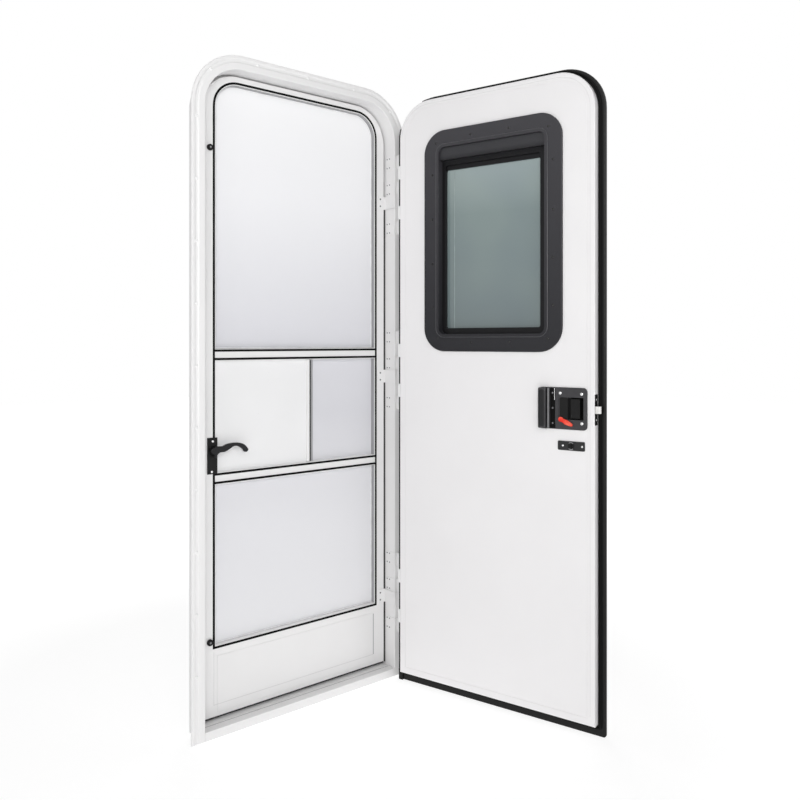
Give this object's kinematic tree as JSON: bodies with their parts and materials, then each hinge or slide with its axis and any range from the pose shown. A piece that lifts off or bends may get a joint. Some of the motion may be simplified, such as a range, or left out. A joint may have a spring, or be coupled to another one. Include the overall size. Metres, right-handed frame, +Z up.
{
  "type": "caravan entry door",
  "caption": "Caravan entry door set: bent flanged frame, insulated outer door with a window and latch, and an inner screen door with a sliding hatch.",
  "frame": {"origin": "middle of the lower edge of the wall cut-out, on the plane where the flange's back meets the outer skin of the van", "axes": "+Z up, +Y into the van, +X to the hinge side as seen from outside; the outer door rests open by 107 degrees"},
  "size_m": [0.8816, 0.7285, 1.822],
  "materials": {
    "frame_white": "satin white powder coat",
    "screen_white": "satin white powder coat",
    "hinge_white": "satin white powder coat",
    "pan_white": "smooth white sheet",
    "skin_white": "smooth white sheet",
    "bolt_white": "smooth",
    "trim_black": "satin black",
    "ring_grey": "matt dark grey",
    "sash_black": "satin black",
    "window_pane": "grey-green tint",
    "latch_grey": "matt dark grey",
    "latch_black": "satin black",
    "lever_black": "satin black",
    "lever_red": "orange red",
    "seal_black": "matt",
    "bumper_rubber": "matt",
    "mesh": "fine light insect mesh",
    "hatch_sheet": "translucent white",
    "pin_steel": "plain"
  },
  "bodies": {
    "frame": {"latch_jamb": "frame_white", "hinge_jamb": "frame_white", "head_arch": "frame_white", "sill": "frame_white", "strike_plate": "latch_black", "hinge_pins": "pin_steel", "upper_frame_leaves": "hinge_white", "middle_frame_leaves": "hinge_white", "lower_frame_leaves": "hinge_white"},
    "main_door": {"inner_pan": "pan_white", "outer_panel": "skin_white", "edge_trim": "trim_black", "window_inner_ring": "ring_grey", "window_outer_ring": "ring_grey", "window_glass": "window_pane", "window_sash": "sash_black", "latch_plate": "latch_grey", "latch_faceplate": "latch_black", "deadlock_plate": "latch_black", "outside_handle": "latch_black", "upper_door_leaves": "hinge_white", "middle_door_leaves": "hinge_white", "lower_door_leaves": "hinge_white"},
    "paddle": {"latch_paddle": "latch_black"},
    "bolt": {"latch_bolt": "bolt_white"},
    "lock": {"lock_lever": "lever_red"},
    "deadlock": {"deadlock_snib": "latch_grey"},
    "screen_door": {"screen_latch_stile": "screen_white", "screen_hinge_stile": "screen_white", "screen_head": "screen_white", "kick_panel": "screen_white", "upper_midrail": "screen_white", "lower_midrail": "screen_white", "mullion": "seal_black", "glazing_seal": "seal_black", "upper_mesh": "mesh", "middle_mesh": "mesh", "lower_mesh": "mesh", "bumpers": "bumper_rubber", "lever_plates": "latch_black", "screen_leaves": "hinge_white"},
    "lever": {"screen_lever": "lever_black"},
    "hatch": {"hatch_panel": "hatch_sheet", "hatch_bar": "screen_white"}
  },
  "joints": [
    {"name": "main_door_swing", "type": "hinge", "parent": "frame", "child": "main_door", "pos_m": [0.327, -0.017, 0], "axis": [0, 0, 1], "range_deg": [-107, 63]},
    {"name": "screen_door_swing", "type": "hinge", "parent": "frame", "child": "screen_door", "pos_m": [0.327, -0.017, 0], "axis": [0, 0, 1], "range_deg": [0, 105]},
    {"name": "screen_lever_turn", "type": "hinge", "parent": "screen_door", "child": "lever", "pos_m": [-0.2755, 0.043, 0.738], "axis": [0, 1, 0], "range_deg": [0, 40], "stiffness_Nm_per_rad": 0.4, "springref_deg": -17.19},
    {"name": "hatch_slide", "type": "slide", "parent": "screen_door", "child": "hatch", "axis": [1, 0, 0], "range_m": [0, 0.2]},
    {"name": "latch_paddle_pull", "type": "hinge", "parent": "main_door", "child": "paddle", "pos_m": [0.4663, -0.57182, 0.852], "axis": [0, 0, -1], "range_deg": [0, 35]},
    {"name": "latch_bolt_slide", "type": "slide", "parent": "main_door", "child": "bolt", "axis": [-0.2924, 0.9563, 0], "range_m": [0, 0.013], "stiffness_N_per_m": 60, "springref_m": -0.01},
    {"name": "lock_lever_turn", "type": "hinge", "parent": "main_door", "child": "lock", "pos_m": [0.45503, -0.54933, 0.8225], "axis": [0.9563, 0.2924, 0], "range_deg": [0, 40]},
    {"name": "deadlock_turn", "type": "hinge", "parent": "main_door", "child": "deadlock", "pos_m": [0.46403, -0.57533, 0.752], "axis": [-0.9563, -0.2924, 0], "range_deg": [0, 90]}
  ],
  "couplings": [
    {"joint": "latch_paddle_pull", "follows": "latch_bolt_slide", "rad_per_m": 46.943}
  ]
}
